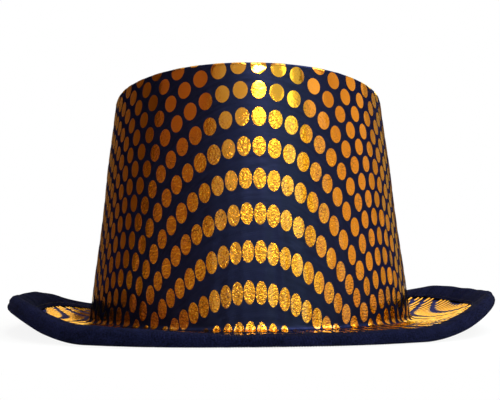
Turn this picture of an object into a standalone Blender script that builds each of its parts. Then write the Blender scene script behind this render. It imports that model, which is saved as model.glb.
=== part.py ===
# New Year party top hat: a moulded crown and brim under one formed sheet of dotted fabric,
# with a bound brim edge, a sweatband and a lining.
# Metres, +Z up, front towards -Y. The hat rests on its brim binding at z = 0.
import math

import bmesh
import bpy
from mathutils import Vector

# Crown, over the outside of the cover; the sharp edge of its tip sinks this far towards each side
CROWN_HALF_WIDTH = 0.0907
CROWN_HALF_LENGTH = 0.1042
CROWN_HEIGHT = 0.1365
WALL_TAPER = math.radians(6.9)
SHOULDER_RADIUS = 0.0042
TIP_DIP = 0.0061
DIP_START = 0.050
DIP_LEVEL = 0.012

# Brim, from the foot of the crown to the outside of the binding; its four corners are cut wider,
# and from this share of the way round to each side it rolls up, to this slope at its edge
BRIM_WIDTH = 0.0458
BRIM_FILLET = 0.0060
BRIM_CORNER = 0.0090
CURL_ANGLE = math.radians(42.0)
CURL_START = 0.53

# Layers of the formed hat, from the outside in
COVER_THICKNESS = 0.0006
SHELL_THICKNESS = 0.0012
FACING_THICKNESS = 0.0005
FACING_TURN_UP = 0.0100
LINING_THICKNESS = 0.0004

# Edge of the brim
BINDING_THICKNESS = 0.0009
BINDING_WIDTH = 0.0155
WIRE_DIAMETER = 0.0011

# Sweatband, threads and label
SWEATBAND_THICKNESS = 0.0009
SWEATBAND_HEIGHT = 0.0320
SWEATBAND_DROP = 0.0040
THREAD_DIAMETER = 0.0005
BINDING_STITCH_INSET = 0.0020
SWEATBAND_STITCH_INSET = 0.0030
LABEL_WIDTH = 0.0360
LABEL_LENGTH = 0.0220
LABEL_THICKNESS = 0.0005
LABEL_CORNER = 0.0025

# Space between pieces that lie on each other
GAP = 0.0003

# Fineness of the solids
SEGMENTS = 48
TIP_STEPS = 4
SHOULDER_STEPS = 3
FILLET_STEPS = 3
BRIM_STEPS = 2
FOLD_STEPS = 6
MERGE_DISTANCE = 0.00001
SMALLEST_TILT = 0.000001

# Depth of each layer's outer and inner face below the outside of the cover
COVER_IN = COVER_THICKNESS
SHELL_OUT = COVER_IN + GAP
SHELL_IN = SHELL_OUT + SHELL_THICKNESS
LINING_OUT = SHELL_IN + GAP
LINING_IN = LINING_OUT + LINING_THICKNESS
FACING_IN = LINING_OUT + FACING_THICKNESS
BAND_OUT = max(LINING_IN, FACING_IN) + GAP
BAND_IN = BAND_OUT + SWEATBAND_THICKNESS

# Brim levels and radii, on the round blank before it is pulled to the oval
BRIM_TOP = BINDING_THICKNESS + GAP + FACING_IN
EDGE_THICKNESS = BRIM_TOP + GAP + BINDING_THICKNESS
BRIM_RADIUS = CROWN_HALF_WIDTH + BRIM_WIDTH
BINDING_INNER_RADIUS = BRIM_RADIUS - BINDING_WIDTH
FOLD_RADIUS = BRIM_RADIUS - EDGE_THICKNESS / 2
WIRE_RADIUS = BRIM_RADIUS - BINDING_THICKNESS - GAP - WIRE_DIAMETER / 2
LAYER_EDGE_RADIUS = WIRE_RADIUS - WIRE_DIAMETER / 2 - GAP
EXTRA_LENGTH = CROWN_HALF_LENGTH - CROWN_HALF_WIDTH

# Wall of the crown: the way out of it, the way up it, and the centres of its two rounded ends
WALL_OUT = Vector((math.cos(WALL_TAPER), math.sin(WALL_TAPER)))
WALL_UP = Vector((-math.sin(WALL_TAPER), math.cos(WALL_TAPER)))


def centre_beside_wall(height, outward):
    """Centre of an arc at this height that touches the wall's outside at this distance."""
    climb = math.sin(WALL_TAPER) * (height - BRIM_TOP)
    return Vector((CROWN_HALF_WIDTH + (outward - climb) / math.cos(WALL_TAPER), height))


SHOULDER_CENTRE = centre_beside_wall(CROWN_HEIGHT - SHOULDER_RADIUS, -SHOULDER_RADIUS)
FILLET_CENTRE = centre_beside_wall(BRIM_TOP + BRIM_FILLET, BRIM_FILLET)
WALL_LENGTH = (SHOULDER_CENTRE - FILLET_CENTRE).dot(WALL_UP)


# Lines of the profile, each a list of (radius, height) from the tip outwards

def arc(centre, radius, start, end, steps):
    angles = [start + (end - start) * step / steps for step in range(steps + 1)]
    return [centre + radius * Vector((math.cos(angle), math.sin(angle))) for angle in angles]


def on_wall(depth, along):
    """Point of the wall at this depth, at a distance above the fillet."""
    return FILLET_CENTRE - WALL_OUT * (BRIM_FILLET + depth) + WALL_UP * along


def radii_between(start, end, steps):
    return [start + (end - start) * step / steps for step in range(1, steps + 1)]


def tip_line(depth):
    shoulder = arc(SHOULDER_CENTRE, SHOULDER_RADIUS - depth, math.pi / 2, WALL_TAPER, SHOULDER_STEPS)
    radii = [0.0] + radii_between(0.0, SHOULDER_CENTRE.x, TIP_STEPS)[:-1]
    return [Vector((radius, CROWN_HEIGHT - depth)) for radius in radii] + shoulder


def brim_line(depth):
    """Fillet and brim, out to the edge that the binding takes in."""
    fillet = arc(FILLET_CENTRE, BRIM_FILLET + depth, math.pi + WALL_TAPER, math.pi * 1.5, FILLET_STEPS)
    radii = radii_between(FILLET_CENTRE.x, BINDING_INNER_RADIUS, BRIM_STEPS)
    radii += radii_between(BINDING_INNER_RADIUS, LAYER_EDGE_RADIUS, BRIM_STEPS)
    return fillet + [Vector((radius, BRIM_TOP - depth)) for radius in radii]


def formed_line(depth):
    return tip_line(depth) + brim_line(depth)


# Blocking: the round blank is pulled to the oval of a head and its brim is rolled up at the sides

def smooth_step(start, end, value):
    share = min(max((value - start) / (end - start), 0.0), 1.0)
    return share * share * (3.0 - 2.0 * share)


def brim_tilt(flat, length, angle):
    """Slope of the brim this far along its length; each section through it is an arc."""
    roll = CURL_ANGLE * smooth_step(CURL_START, 1.0, abs(math.sin(angle)))
    return max(roll * flat / length, SMALLEST_TILT)


def tip_dip(radius, angle, height):
    """How far the top of the crown sinks here, from its middle towards either side."""
    side = min(radius / SHOULDER_CENTRE.x, 1.0) * abs(math.sin(angle))
    return TIP_DIP * side ** 3 * smooth_step(DIP_START, CROWN_HEIGHT - DIP_LEVEL, height)


def blocked(radius, angle, height):
    """Place on the finished hat of a point of the blank; the angle runs from the front to +X."""
    stretch = EXTRA_LENGTH * min(radius / SHOULDER_CENTRE.x, 1.0)
    corner = BRIM_CORNER * math.sin(2 * angle) ** 2
    flat = max(radius - FILLET_CENTRE.x, 0.0)
    flat += corner * min(flat / (BINDING_INNER_RADIUS - FILLET_CENTRE.x), 1.0)
    tilt = brim_tilt(flat, BRIM_RADIUS - FILLET_CENTRE.x + corner, angle)
    middle = EDGE_THICKNESS / 2
    above = height - middle
    reach = min(radius, FILLET_CENTRE.x) + flat * math.sin(tilt) / tilt - above * math.sin(tilt)
    rise = middle + flat * (1.0 - math.cos(tilt)) / tilt + above * math.cos(tilt)
    rise -= tip_dip(radius, angle, height)
    return Vector((reach * math.sin(angle), -(reach + stretch) * math.cos(angle), rise))


def split_quads(mesh_data):
    """Cut each four-sided face along its higher diagonal, so that layers stay parallel."""
    for face in [face for face in mesh_data.faces if len(face.verts) == 4]:
        first, second, third, fourth = face.verts
        if first.co.z + third.co.z >= second.co.z + fourth.co.z:
            bmesh.utils.face_split(face, first, third)
        else:
            bmesh.utils.face_split(face, second, fourth)


def block(mesh):
    mesh_data = bmesh.new()
    mesh_data.from_mesh(mesh)
    for vertex in mesh_data.verts:
        radius = math.hypot(vertex.co.x, vertex.co.y)
        angle = math.atan2(vertex.co.x, -vertex.co.y)
        vertex.co = blocked(radius, angle, vertex.co.z)
    split_quads(mesh_data)
    mesh_data.to_mesh(mesh)
    mesh_data.free()


# Objects

def clear_scene():
    for old in list(bpy.data.objects):
        bpy.data.objects.remove(old, do_unlink=True)


def new_collection(name):
    collection = bpy.data.collections.new(name)
    bpy.context.scene.collection.children.link(collection)
    return collection


def new_material(name, colour, roughness, metallic=0.0):
    material = bpy.data.materials.new(name)
    material.use_nodes = True
    shader = material.node_tree.nodes["Principled BSDF"]
    shader.inputs["Base Color"].default_value = (*colour, 1.0)
    shader.inputs["Roughness"].default_value = roughness
    shader.inputs["Metallic"].default_value = metallic
    return material


def add_piece(name, data, material):
    piece = bpy.data.objects.new(name, data)
    data.materials.append(material)
    piece.parent = hat
    parts.objects.link(piece)
    return piece


def turned_piece(name, outline, material):
    """Turn an outline into a round blank and block it; an outline off the axis is closed."""
    count = len(outline)
    edges = [(index, index + 1) for index in range(count - 1)]
    if outline[0].x > 0:
        edges.append((count - 1, 0))
    profile = bpy.data.meshes.new(name + "_profile")
    profile.from_pydata([(point.x, 0.0, point.y) for point in outline], edges, [])
    blank = bpy.data.objects.new(name + "_blank", profile)
    bpy.context.scene.collection.objects.link(blank)
    turn = blank.modifiers.new("turn", "SCREW")
    turn.axis = "Z"
    turn.steps = SEGMENTS
    turn.render_steps = SEGMENTS
    turn.use_merge_vertices = True
    turn.merge_threshold = MERGE_DISTANCE
    evaluated = blank.evaluated_get(bpy.context.evaluated_depsgraph_get())
    mesh = bpy.data.meshes.new_from_object(evaluated)
    mesh.name = name
    bpy.data.objects.remove(blank, do_unlink=True)
    bpy.data.meshes.remove(profile)
    block(mesh)
    mesh.shade_smooth()
    mesh.set_sharp_from_angle(angle=math.radians(50))
    return add_piece(name, mesh, material)


def ring_tube(name, radius, height, diameter, material):
    """Thread or wire that runs once round the hat, as a closed tube."""
    curve = bpy.data.curves.new(name, "CURVE")
    curve.dimensions = "3D"
    curve.bevel_depth = diameter / 2
    curve.bevel_resolution = 1
    spline = curve.splines.new("POLY")
    spline.points.add(SEGMENTS - 1)
    for index, point in enumerate(spline.points):
        point.co = (*blocked(radius, math.tau * index / SEGMENTS, height), 1.0)
    spline.use_cyclic_u = True
    return add_piece(name, curve, material)


# Formed layers

def make_outer_cover():
    material = new_material("dotted_navy_fabric", (0.020, 0.026, 0.090), 0.6)
    turned_piece("outer_cover", formed_line(0.0) + formed_line(COVER_IN)[::-1], material)


def make_hat_shell():
    material = new_material("moulded_felt", (0.020, 0.020, 0.026), 0.9)
    turned_piece("hat_shell", formed_line(SHELL_OUT) + formed_line(SHELL_IN)[::-1], material)


def make_brim_facing():
    material = new_material("facing_fabric", (0.012, 0.014, 0.040), 0.85)
    outer = [on_wall(LINING_OUT, FACING_TURN_UP)] + brim_line(LINING_OUT)
    inner = [on_wall(FACING_IN, FACING_TURN_UP)] + brim_line(FACING_IN)
    turned_piece("brim_facing", outer + inner[::-1], material)


def make_tip_lining():
    material = new_material("tip_lining_satin", (0.016, 0.018, 0.050), 0.4)
    turned_piece("tip_lining", tip_line(LINING_OUT) + tip_line(LINING_IN)[::-1], material)


def make_side_lining():
    """Covers the wall between the tip lining and the turned-up facing."""
    material = new_material("side_lining_satin", (0.016, 0.018, 0.050), 0.4)
    top = WALL_LENGTH - GAP
    bottom = FACING_TURN_UP + GAP
    outline = [on_wall(LINING_OUT, top), on_wall(LINING_OUT, bottom)]
    outline += [on_wall(LINING_IN, bottom), on_wall(LINING_IN, top)]
    turned_piece("side_lining", outline, material)


# Edge of the brim

def binding_face(inset):
    """One face of the folded tape, from its top leg round the fold to its bottom leg."""
    top = EDGE_THICKNESS - inset
    fold_centre = Vector((FOLD_RADIUS, EDGE_THICKNESS / 2))
    legs = [BINDING_INNER_RADIUS]
    legs += radii_between(BINDING_INNER_RADIUS, LAYER_EDGE_RADIUS, BRIM_STEPS)[:-1]
    fold = arc(fold_centre, EDGE_THICKNESS / 2 - inset, math.pi / 2, -math.pi / 2, FOLD_STEPS)
    upper = [Vector((radius, top)) for radius in legs]
    lower = [Vector((radius, inset)) for radius in legs[::-1]]
    return upper + fold + lower


def make_brim_binding():
    material = new_material("ribbed_navy_tape", (0.010, 0.012, 0.030), 0.9)
    outline = binding_face(0.0) + binding_face(BINDING_THICKNESS)[::-1]
    turned_piece("brim_binding", outline, material)


def make_brim_wire():
    material = new_material("wire_steel", (0.55, 0.55, 0.56), 0.35, 1.0)
    ring_tube("brim_wire", WIRE_RADIUS, EDGE_THICKNESS / 2, WIRE_DIAMETER, material)


def make_binding_stitch():
    material = new_material("binding_thread", (0.012, 0.014, 0.040), 0.6)
    radius = BINDING_INNER_RADIUS + BINDING_STITCH_INSET
    height = EDGE_THICKNESS + GAP + THREAD_DIAMETER / 2
    ring_tube("binding_stitch", radius, height, THREAD_DIAMETER, material)


# Inside of the crown

def make_sweatband():
    material = new_material("sweatband_ribbon", (0.012, 0.012, 0.020), 0.7)
    bottom = -SWEATBAND_DROP
    top = bottom + SWEATBAND_HEIGHT
    outline = [on_wall(BAND_OUT, top), on_wall(BAND_OUT, bottom)]
    outline += [on_wall(BAND_IN, bottom), on_wall(BAND_IN, top)]
    turned_piece("sweatband", outline, material)


def make_sweatband_stitch():
    material = new_material("sweatband_thread", (0.030, 0.032, 0.060), 0.6)
    depth = BAND_IN + GAP + THREAD_DIAMETER / 2
    place = on_wall(depth, SWEATBAND_STITCH_INSET - SWEATBAND_DROP)
    ring_tube("sweatband_stitch", place.x, place.y, THREAD_DIAMETER, material)


def make_size_label():
    """Flat blank label under the middle of the tip lining."""
    material = new_material("label_satin", (0.75, 0.74, 0.70), 0.45)
    under_lining = CROWN_HEIGHT - LINING_IN - GAP - LABEL_THICKNESS / 2
    height = blocked(LABEL_WIDTH / 2, math.pi / 2, under_lining).z
    mesh = bpy.data.meshes.new("size_label")
    mesh_data = bmesh.new()
    bmesh.ops.create_cube(mesh_data, size=1.0)
    bmesh.ops.scale(mesh_data, vec=(LABEL_WIDTH, LABEL_LENGTH, LABEL_THICKNESS), verts=mesh_data.verts)
    upright = [edge for edge in mesh_data.edges if edge.verts[0].co.z * edge.verts[1].co.z < 0]
    bmesh.ops.bevel(mesh_data, geom=upright, offset=LABEL_CORNER, segments=3, profile=0.5, affect="EDGES")
    mesh_data.to_mesh(mesh)
    mesh_data.free()
    label = add_piece("size_label", mesh, material)
    label.location.z = height


clear_scene()
parts = new_collection("party_hat")
hat = bpy.data.objects.new("party_hat_frame", None)
parts.objects.link(hat)

make_outer_cover()
make_hat_shell()
make_brim_facing()
make_side_lining()
make_tip_lining()
make_brim_binding()
make_brim_wire()
make_binding_stitch()
make_sweatband()
make_sweatband_stitch()
make_size_label()
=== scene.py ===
# New Year party top hat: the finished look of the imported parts, in the order the hat is put together.
import math

import bpy
import numpy as np
from mathutils import Matrix, Vector


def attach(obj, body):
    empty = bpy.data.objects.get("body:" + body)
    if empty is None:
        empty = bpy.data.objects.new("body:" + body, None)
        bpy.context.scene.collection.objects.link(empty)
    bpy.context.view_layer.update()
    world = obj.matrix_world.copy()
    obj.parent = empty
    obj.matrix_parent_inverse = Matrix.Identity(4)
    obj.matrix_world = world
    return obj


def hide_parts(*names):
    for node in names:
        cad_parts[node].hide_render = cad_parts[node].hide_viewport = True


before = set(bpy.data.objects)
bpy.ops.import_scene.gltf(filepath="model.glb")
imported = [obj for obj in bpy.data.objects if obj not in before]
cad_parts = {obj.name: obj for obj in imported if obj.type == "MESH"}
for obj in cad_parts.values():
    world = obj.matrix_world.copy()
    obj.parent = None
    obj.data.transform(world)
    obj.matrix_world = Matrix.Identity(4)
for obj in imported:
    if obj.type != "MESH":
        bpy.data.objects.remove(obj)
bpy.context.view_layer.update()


# Moulded shell
# Stiff wool felt, steamed over an oval block; it gives the crown and the brim their shape. The tip's
# edge is sharp and sinks towards both sides; the brim is rolled up at the sides, most on the right.
# The felt lies closed in between the cover and the facing and linings.

CROWN_HALF_WIDTH = 0.0907
CROWN_HALF_LENGTH = 0.1042
CROWN_HEIGHT = 0.1360
WALL_TAPER = math.radians(6.9)
SHOULDER_RADIUS = 0.0042
TIP_DIP = 0.0066
RIGHT_SINK = 0.40
RIGHT_SINK_SPAN = (-0.2, 1.2)
CORNER_SINK = 0.15
WALL_SWELL = 0.0007
SWELL_SPAN = (0.070, 0.100)
WALL_PINCH = 0.0005
PINCH_HEIGHT = 0.055
PINCH_SPREAD = 0.020
DIP_START = 0.050
DIP_LEVEL = 0.012
BRIM_RADIUS = 0.1365
BRIM_FILLET = 0.0028
BRIM_TOP = 0.0041
BRIM_CORNER = 0.0066
SIDE_TRIM = 0.0006
RIGHT_ROLL = math.radians(43.8)
RIGHT_ROLL_START = 0.5345
RIGHT_ROLL_LEAN = math.radians(-0.95)
LEFT_ROLL = math.radians(38.3)
LEFT_ROLL_START = 0.6515
LEFT_ROLL_LEAN = math.radians(4.0)
RIGHT_LEVEL = 0.038
LEFT_LEVEL = 0.101
SMALLEST_TILT = 0.000001
EDGE_THICKNESS = 0.0053
CORNER_END_RADIUS = 0.1226
BINDING_INNER_RADIUS = 0.1237
LAYER_EDGE_RADIUS = 0.1339
EXTRA_LENGTH = CROWN_HALF_LENGTH - CROWN_HALF_WIDTH

WALL_OUT = np.array((math.cos(WALL_TAPER), math.sin(WALL_TAPER)))
WALL_UP = np.array((-math.sin(WALL_TAPER), math.cos(WALL_TAPER)))


def centre_beside_wall(height, outward):
    """Centre of an arc at this height that touches the wall's outside at this distance."""
    climb = math.sin(WALL_TAPER) * (height - BRIM_TOP)
    return np.array((CROWN_HALF_WIDTH + (outward - climb) / math.cos(WALL_TAPER), height))


SHOULDER_CENTRE = centre_beside_wall(CROWN_HEIGHT - SHOULDER_RADIUS, -SHOULDER_RADIUS)
FILLET_CENTRE = centre_beside_wall(BRIM_TOP + BRIM_FILLET, BRIM_FILLET)
WALL_FOOT = FILLET_CENTRE - WALL_OUT * BRIM_FILLET
WALL_LENGTH = float((SHOULDER_CENTRE - FILLET_CENTRE) @ WALL_UP)

# Distances from the edge of the flat tip to the ends of the shoulder, the wall, the fillet and the brim
SHOULDER_END = SHOULDER_RADIUS * (math.pi / 2 - WALL_TAPER)
WALL_END = SHOULDER_END + WALL_LENGTH
FILLET_END = WALL_END + BRIM_FILLET * (math.pi / 2 - WALL_TAPER)
COVER_END = FILLET_END + LAYER_EDGE_RADIUS - FILLET_CENTRE[0]


def outline_point(distance, lift=0.0):
    """Radius and height of the hat's outline, this far out from the edge of the tip and lifted off it."""
    distance = np.asarray(distance, float)
    shoulder = math.pi / 2 - distance / SHOULDER_RADIUS
    fillet = math.pi + WALL_TAPER + (distance - WALL_END) / BRIM_FILLET
    climb = WALL_END - distance
    level = np.zeros_like(distance)
    parts = [distance < 0, distance < SHOULDER_END, distance < WALL_END, distance < FILLET_END]
    out = np.select(parts, [level, np.cos(shoulder), level + WALL_OUT[0], -np.cos(fillet)], 0.0)
    up = np.select(parts, [level + 1, np.sin(shoulder), level + WALL_OUT[1], -np.sin(fillet)], 1.0)
    radius = np.select(parts, [
        SHOULDER_CENTRE[0] + distance,
        SHOULDER_CENTRE[0] + SHOULDER_RADIUS * out,
        WALL_FOOT[0] + WALL_UP[0] * climb,
        FILLET_CENTRE[0] - BRIM_FILLET * out,
    ], FILLET_CENTRE[0] + distance - FILLET_END)
    height = np.select(parts, [
        level + CROWN_HEIGHT,
        SHOULDER_CENTRE[1] + SHOULDER_RADIUS * up,
        WALL_FOOT[1] + WALL_UP[1] * climb,
        FILLET_CENTRE[1] - BRIM_FILLET * up,
    ], BRIM_TOP)
    return radius + lift * out, height + lift * up


def smooth_step(start, end, value):
    share = np.clip((value - start) / (end - start), 0.0, 1.0)
    return share * share * (3.0 - 2.0 * share)


def brim_roll(angle):
    """Slope of the brim's edge, rolled up at either side."""
    right = RIGHT_ROLL * smooth_step(RIGHT_ROLL_START, 1.0, np.sin(angle - RIGHT_ROLL_LEAN))
    left = LEFT_ROLL * smooth_step(LEFT_ROLL_START, 1.0, -np.sin(angle - LEFT_ROLL_LEAN))
    return right + left


def tip_dip(radius, angle, height):
    """How far the top of the crown sinks here, from its middle towards either side."""
    side = np.minimum(radius / SHOULDER_CENTRE[0], 1.0) * np.sin(angle)
    sink = np.abs(side) ** 3 + CORNER_SINK * side ** 12 + RIGHT_SINK * smooth_step(*RIGHT_SINK_SPAN, side)
    return TIP_DIP * sink * smooth_step(DIP_START, CROWN_HEIGHT - DIP_LEVEL, height)


def wall_swell(radius, height):
    """How far the sides of the crown stand out from a straight wall, fuller above and slimmer below."""
    full = WALL_SWELL * smooth_step(*SWELL_SPAN, height)
    slim = WALL_PINCH * np.exp(-(((height - PINCH_HEIGHT) / PINCH_SPREAD) ** 2))
    return (full - slim) * np.minimum(radius / SHOULDER_CENTRE[0], 1.0)


def blocked(radius, angle, height):
    """Place on the oval, rolled hat of a point of the round blank; the angle runs from the front to +X."""
    stretch = EXTRA_LENGTH * np.minimum(radius / SHOULDER_CENTRE[0], 1.0)
    corner = BRIM_CORNER * np.sin(2 * angle) ** 2 - SIDE_TRIM * np.sin(angle) ** 8
    flat = np.maximum(radius - FILLET_CENTRE[0], 0.0)
    flat = flat + corner * np.minimum(flat / (CORNER_END_RADIUS - FILLET_CENTRE[0]), 1.0)
    length = BRIM_RADIUS - FILLET_CENTRE[0] + corner
    level = length * np.where(np.sin(angle) < 0, LEFT_LEVEL, RIGHT_LEVEL)
    rolled = np.maximum(flat - level, 0.0)
    tilt = np.maximum(brim_roll(angle) * rolled / (length - level), SMALLEST_TILT)
    above = height - EDGE_THICKNESS / 2
    reach = np.minimum(radius, FILLET_CENTRE[0]) + np.minimum(flat, level)
    reach = reach + rolled * np.sin(tilt) / tilt - above * np.sin(tilt)
    rise = EDGE_THICKNESS / 2 + rolled * (1.0 - np.cos(tilt)) / tilt + above * np.cos(tilt)
    rise = rise - tip_dip(radius, angle, height)
    across = (reach + wall_swell(radius, height)) * np.sin(angle)
    along = -(reach + stretch) * np.cos(angle)
    return np.stack(np.broadcast_arrays(across, along, rise), axis=-1)


def deselect_all():
    bpy.ops.object.select_all(action="DESELECT")


def apply_modifier(piece, kind, **settings):
    bpy.context.view_layer.objects.active = piece
    modifier = piece.modifiers.new(kind.lower(), kind)
    for name, value in settings.items():
        setattr(modifier, name, value)
    bpy.ops.object.modifier_apply(modifier=modifier.name)


def copy_in_row(piece, count, step):
    apply_modifier(piece, "ARRAY", count=count, use_relative_offset=False, use_constant_offset=True,
                   constant_offset_displace=step)


def start_edit(select="SELECT"):
    bpy.ops.object.mode_set(mode="EDIT")
    bpy.ops.mesh.select_all(action=select)


def end_edit():
    bpy.ops.object.mode_set(mode="OBJECT")


def name_added(name):
    """Name the object that was just added, and its mesh."""
    piece = bpy.context.object
    piece.name = name
    piece.data.name = name
    return piece


def turn_outline(name, outline, steps, open_sheet=False):
    """Draw an outline of (radius, height) by extruding one vertex, and turn it round the axis."""
    deselect_all()
    start = (float(outline[0][0]), 0.0, float(outline[0][1]))
    bpy.ops.mesh.primitive_circle_add(vertices=3, radius=0.001, location=start)
    piece = name_added(name)
    bpy.ops.object.transform_apply()
    start_edit()
    bpy.ops.mesh.merge(type="CENTER")
    for before, point in zip(outline[:-1], outline[1:]):
        step = (float(point[0] - before[0]), 0.0, float(point[1] - before[1]))
        bpy.ops.mesh.extrude_region_move(TRANSFORM_OT_translate={"value": step})
    end_edit()
    apply_modifier(piece, "SCREW", axis="Z", angle=math.tau, steps=steps, render_steps=steps)
    start_edit()
    bpy.ops.mesh.remove_doubles(threshold=0.000002)
    bpy.ops.mesh.normals_make_consistent(inside=False)
    piece.update_from_editmode()
    if open_sheet and sum(face.normal.z for face in piece.data.polygons) < 0:
        bpy.ops.mesh.flip_normals()
    end_edit()
    return piece


def vertex_places(piece):
    places = np.empty(len(piece.data.vertices) * 3)
    piece.data.vertices.foreach_get("co", places)
    return places.reshape(-1, 3)


def move_vertices(piece, places):
    piece.data.vertices.foreach_set("co", np.ascontiguousarray(places, np.float32).ravel())
    piece.data.update()


def corner_vertices(piece):
    corners = np.empty(len(piece.data.loops), np.int32)
    piece.data.loops.foreach_get("vertex_index", corners)
    return corners


def keep_cloth_map(piece, flat):
    """Keep each face corner's place on the flat cloth, in metres, as the piece's own map."""
    cloth = piece.data.uv_layers.new(name="cloth")
    cloth.data.foreach_set("uv", np.ascontiguousarray(flat, np.float32).ravel())


def wrapped_map(piece, turn, round_length, along):
    """Keep a map of (way round, way along) on a turned piece, closed at the back."""
    corners = corner_vertices(piece)
    starts = np.empty(len(piece.data.polygons), np.int32)
    counts = np.empty(len(piece.data.polygons), np.int32)
    piece.data.polygons.foreach_get("loop_start", starts)
    piece.data.polygons.foreach_get("loop_total", counts)
    turn = turn[corners]
    highest = np.repeat(np.maximum.reduceat(turn, starts), counts)
    turn = np.where(highest - turn > math.pi, turn + math.tau, turn)
    keep_cloth_map(piece, np.stack([turn / math.tau * round_length, along[corners]], axis=-1))


def block_turned(piece, round_length, shape=None):
    """Pull a turned blank to the oval and curl its brim; shape moves (radius, angle, height) first."""
    blank = vertex_places(piece)
    radius = np.hypot(blank[:, 0], blank[:, 1])
    angle = np.arctan2(blank[:, 0], -blank[:, 1])
    height = blank[:, 2]
    wrapped_map(piece, angle, round_length, radius - height)
    if shape:
        radius, angle, height = shape(radius, angle, height)
    move_vertices(piece, blocked(radius, angle, height))


def layer_section(rings, upper_depth, lower_depth):
    """Closed section of a layer that lies along the hat's outline between two depths."""
    upper = np.stack(outline_point(rings, -upper_depth), axis=-1)
    lower = np.stack(outline_point(rings, -lower_depth), axis=-1)
    return np.concatenate([upper, lower[::-1], upper[:1]])


def finish_piece(piece, finish, slot, *nodes, sharp=40.0):
    """Shade a piece, give it its material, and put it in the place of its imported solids."""
    deselect_all()
    piece.select_set(True)
    bpy.context.view_layer.objects.active = piece
    bpy.ops.object.shade_smooth_by_angle(angle=math.radians(sharp))
    piece.data.materials.clear()
    piece.data.materials.append(finish)
    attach(piece, "root")
    if nodes:
        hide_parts(*nodes)


def new_finish(name, sockets):
    """Start a material with these values on the shader's own sockets."""
    finish = bpy.data.materials.new(name)
    finish.use_nodes = True
    shader = finish.node_tree.nodes["Principled BSDF"]
    for socket, value in sockets.items():
        shader.inputs[socket].default_value = value
    return finish, finish.node_tree, shader


def add_node(tree, kind, inputs, **settings):
    """Add a node with its settings; an input is a value or the output of another node."""
    added = tree.nodes.new(kind)
    for name, value in settings.items():
        setattr(added, name, value)
    for socket, value in inputs.items():
        if isinstance(value, bpy.types.NodeSocket):
            tree.links.new(value, added.inputs[socket])
        else:
            added.inputs[socket].default_value = value
    return added


def object_place(tree):
    return add_node(tree, "ShaderNodeTexCoord", {}).outputs["Object"]


def fibres(tree, place, size, stretch=(1.0, 1.0, 1.0), detail=4.0):
    """Cloudy grains of about this size in metres, drawn out along the axes."""
    scale = tuple(1.0 / (size * share) for share in stretch)
    mapped = add_node(tree, "ShaderNodeMapping", {"Vector": place, "Scale": scale})
    inputs = {"Vector": mapped.outputs["Vector"], "Scale": 1.0, "Detail": detail}
    return add_node(tree, "ShaderNodeTexNoise", inputs).outputs["Fac"]


def calculate(tree, operation, first, second):
    return add_node(tree, "ShaderNodeMath", {0: first, 1: second}, operation=operation).outputs[0]


def span(tree, value, low, high, to_low=0.0, to_high=1.0):
    """Carry a pattern's values from one span to another, held at its ends."""
    inputs = {"Value": value, "From Min": low, "From Max": high, "To Min": to_low, "To Max": to_high}
    return add_node(tree, "ShaderNodeMapRange", inputs).outputs["Result"]


def mix_colours(tree, share, first, second):
    """Two colours mixed by a pattern; each is three numbers or another node's output."""
    first = (*first, 1.0) if isinstance(first, tuple) else first
    second = (*second, 1.0) if isinstance(second, tuple) else second
    inputs = {0: share, 6: first, 7: second}
    return add_node(tree, "ShaderNodeMix", inputs, data_type="RGBA").outputs[2]


def paint(tree, shader, colour):
    tree.links.new(colour, shader.inputs["Base Color"])


def raise_bump(tree, shader, height, distance, strength=1.0):
    inputs = {"Height": height, "Distance": distance, "Strength": strength}
    bump = add_node(tree, "ShaderNodeBump", inputs)
    tree.links.new(bump.outputs["Normal"], shader.inputs["Normal"])


def moulded_felt():
    finish, tree, shader = new_finish("moulded_felt", {"Roughness": 0.95, "Sheen Weight": 0.2})
    place = object_place(tree)
    hairs = fibres(tree, place, 0.0011, detail=8.0)
    clouds = fibres(tree, place, 0.018)
    colour = mix_colours(tree, clouds, (0.015, 0.015, 0.020), (0.027, 0.027, 0.034))
    paint(tree, shader, colour)
    raise_bump(tree, shader, hairs, 0.0004)
    return finish


SHELL_TOP_DEPTH = 0.0009
SHELL_INNER_DEPTH = 0.0021
SHELL_RINGS = np.concatenate([
    np.linspace(-SHOULDER_CENTRE[0], 0.0, 9),
    np.linspace(0.0, SHOULDER_END, 6)[1:],
    np.linspace(SHOULDER_END, WALL_END, 13)[1:],
    np.linspace(WALL_END, FILLET_END, 9)[1:],
    np.linspace(FILLET_END, COVER_END, 13)[1:],
])
shell_section = layer_section(SHELL_RINGS, SHELL_TOP_DEPTH, SHELL_INNER_DEPTH)[:-1]
hat_shell = turn_outline("hat_shell_felt", shell_section, steps=192)
block_turned(hat_shell, round_length=0.57)
finish_piece(hat_shell, moulded_felt(), "moulded_felt", "hat_shell")


# Outer cover
# One sheet of navy stretch satin, printed with foil dots, wetted and pulled down over the shell.
# It grows longer down the sides and narrower round them, lies in shallow gathers at the foot of
# the crown, and runs out over the brim to the edge that the binding takes in.

COVER_THICKNESS = 0.0006
EDGE_SHARPNESS = 9.0
SIDE_SHARPNESS = 2.4
SHARP_SPAN = (0.10, 0.55)


def edge_stand(distance, angle):
    """How far the taut cloth stands off the round shoulder: its edge is sharp but for the two sides."""
    share = smooth_step(*SHARP_SPAN, np.abs(np.cos(angle)))
    sharp = SIDE_SHARPNESS + (EDGE_SHARPNESS - SIDE_SHARPNESS) * share
    way = np.clip(math.pi / 2 - distance / SHOULDER_RADIUS, WALL_TAPER, math.pi / 2)
    corner = np.sin(way) ** sharp + np.cos(way - WALL_TAPER) ** sharp
    return SHOULDER_RADIUS * np.maximum(corner ** (-1.0 / sharp) - 1.0, 0.0)


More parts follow.
